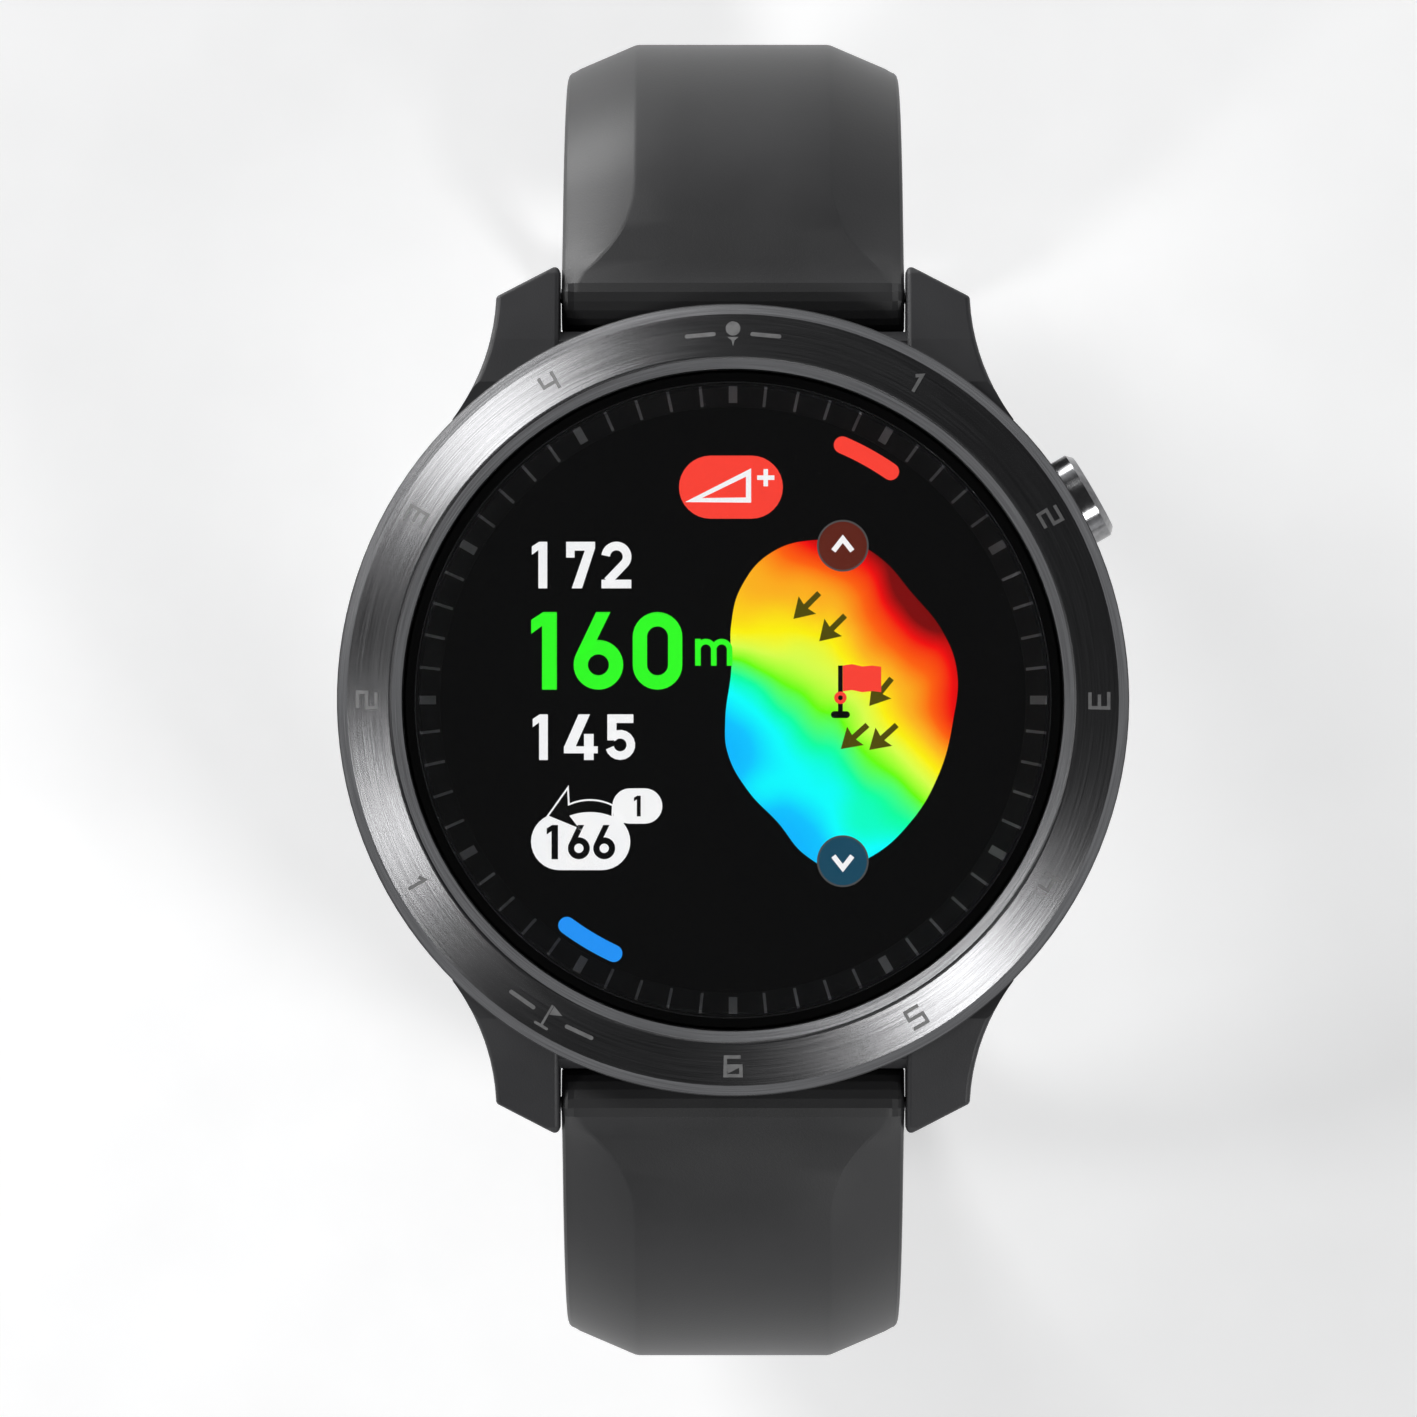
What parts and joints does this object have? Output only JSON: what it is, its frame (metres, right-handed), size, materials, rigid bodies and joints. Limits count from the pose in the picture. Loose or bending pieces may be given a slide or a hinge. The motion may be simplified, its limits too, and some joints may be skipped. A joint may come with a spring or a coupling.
{
  "type": "golf gps watch",
  "caption": "Round golf GPS wristwatch with a lit hole map under its glass, a legended metal bezel, one side button and a pin-buckled silicone strap.",
  "frame": {"origin": "centre of the back cover's flat outer face, where the watch meets the wrist", "axes": "+Z out of the dial, +Y to 12 o'clock, +X to 3 o'clock"},
  "size_m": [0.046, 0.0786, 0.0751],
  "materials": {
    "case_black": "fine matte moulded black",
    "bezel_metal": "dark grey metal brushed round the dial",
    "gasket_rubber": "smooth black",
    "glass": "clear, polished",
    "chapter_black": "matte black",
    "display": "black panel that lights up",
    "diffuser_white": "satin white",
    "inner_plastic": "satin dark grey",
    "flex_amber": "amber film",
    "board_green": "green solder mask",
    "shield_tin": "tinned sheet",
    "chip_black": "matte moulded",
    "antenna_copper": "bare copper",
    "battery_foil": "satin foil",
    "pad_blue": "adhesive pad",
    "wire_red": "insulated wire",
    "steel": "satin",
    "button_metal": "polished dark grey metal",
    "back_metal": "bead blasted grey",
    "screw_black": "blackened",
    "contact_gold": "gold plated",
    "strap_silicone": "matte silicone",
    "buckle_metal": "satin dark grey"
  },
  "bodies": {
    "case": {"mid_case": "case_black", "bezel_ring": "bezel_metal", "bezel_gasket": "gasket_rubber", "cover_glass": "glass", "glass_gasket": "gasket_rubber", "chapter_ring": "chapter_black", "display_panel": "display", "backlight_unit": "diffuser_white", "display_frame": "inner_plastic", "display_flex": "flex_amber", "main_board": "board_green", "rf_shield": "shield_tin", "processor_chip": "chip_black", "memory_chip": "chip_black", "gps_receiver": "chip_black", "motion_sensor": "chip_black", "board_connectors": "inner_plastic", "gps_antenna": "antenna_copper", "battery": "battery_foil", "battery_pad": "pad_blue", "battery_lead": "wire_red", "vibration_motor": "steel", "side_switch": "inner_plastic", "button_sleeve": "steel", "button_spring": "steel", "back_cover": "back_metal", "back_gasket": "gasket_rubber", "back_screws": "screw_black", "charge_contacts": "contact_gold", "contact_block": "inner_plastic"},
    "button": {"button_cap": "button_metal", "button_o_ring": "gasket_rubber", "button_clip": "steel"},
    "buckle_half": {"strap_12": "strap_silicone", "spring_bar_12": "steel", "plunger_spring_12": "steel", "fixed_keeper": "strap_silicone"},
    "hole_half": {"strap_6": "strap_silicone", "spring_bar_6": "steel", "plunger_spring_6": "steel"},
    "release_12": {"release_plunger_12": "steel"},
    "release_6": {"release_plunger_6": "steel"},
    "buckle": {"buckle_frame": "buckle_metal", "buckle_bar": "buckle_metal"},
    "tongue": {"buckle_tongue": "buckle_metal"},
    "loose_keeper": {"sliding_keeper": "strap_silicone"}
  },
  "joints": [
    {"name": "button_press", "type": "slide", "parent": "case", "child": "button", "axis": [-0.866, -0.5, 0], "range_m": [0, 0.0007], "stiffness_N_per_m": 800, "springref_m": -0.0003, "deforming": ["button_spring"]},
    {"name": "strap_12_hinge", "type": "hinge", "parent": "case", "child": "buckle_half", "pos_m": [0, 0.0236, 0.005], "axis": [1, 0, 0], "range_deg": [0, 60]},
    {"name": "strap_6_hinge", "type": "hinge", "parent": "case", "child": "hole_half", "pos_m": [0, -0.0236, 0.005], "axis": [-1, 0, 0], "range_deg": [0, 60]},
    {"name": "release_12_slide", "type": "slide", "parent": "buckle_half", "child": "release_12", "axis": [-1, 0, 0], "range_m": [0, 0.00125], "stiffness_N_per_m": 400, "springref_m": -0.0005, "deforming": ["plunger_spring_12"]},
    {"name": "release_6_slide", "type": "slide", "parent": "hole_half", "child": "release_6", "axis": [-1, 0, 0], "range_m": [0, 0.00125], "stiffness_N_per_m": 400, "springref_m": -0.0005, "deforming": ["plunger_spring_6"]},
    {"name": "buckle_hinge", "type": "hinge", "parent": "buckle_half", "child": "buckle", "pos_m": [0, 0.02499, -0.05015], "axis": [1, 0, 0], "range_deg": [-60, 40]},
    {"name": "tongue_hinge", "type": "hinge", "parent": "buckle", "child": "tongue", "pos_m": [0, 0.02499, -0.05015], "axis": [1, 0, 0], "range_deg": [0, 45]},
    {"name": "keeper_slide", "type": "slide", "parent": "buckle_half", "child": "loose_keeper", "axis": [0, 0.3746, 0.9272], "range_m": [0, 0.005]}
  ]
}
